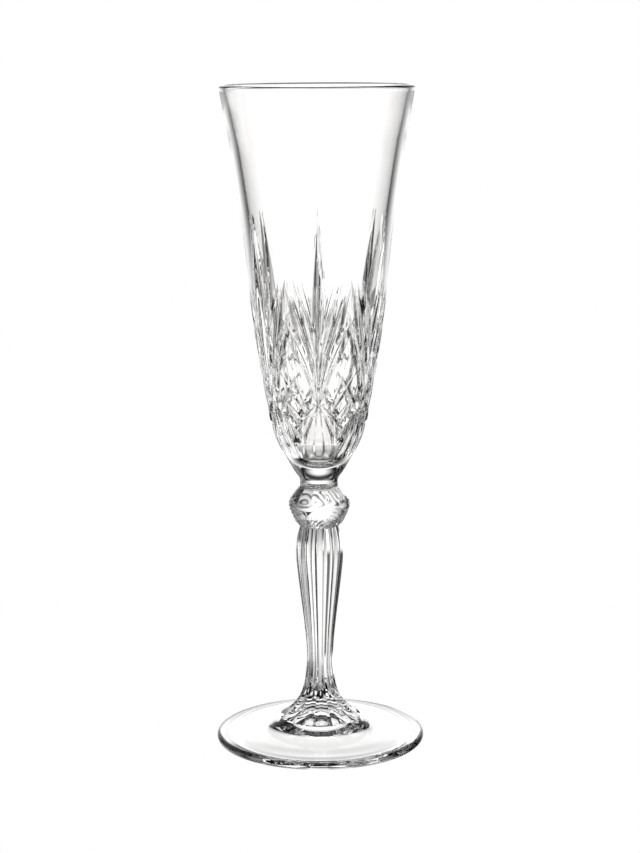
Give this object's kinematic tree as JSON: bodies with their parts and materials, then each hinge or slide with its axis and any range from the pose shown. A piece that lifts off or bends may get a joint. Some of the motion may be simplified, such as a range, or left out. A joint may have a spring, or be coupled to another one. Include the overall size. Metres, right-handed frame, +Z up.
{
  "type": "champagne flute",
  "caption": "Stemmed pressed-glass champagne flute: tapering bowl with a cut ray pattern, faceted knop, fluted stem and round foot.",
  "frame": {"origin": "centre of the ring under the foot that the flute stands on", "axes": "+Z up along the axis of the flute, -Y towards one motif of the bowl's cut pattern"},
  "size_m": [0.067, 0.067, 0.21],
  "materials": {
    "clear_glass": "clear, fire-polished, with crisp pressed cuts"
  },
  "bodies": {
    "root": {"bowl": "clear_glass", "knop": "clear_glass", "stem": "clear_glass", "foot": "clear_glass"}
  },
  "joints": []
}
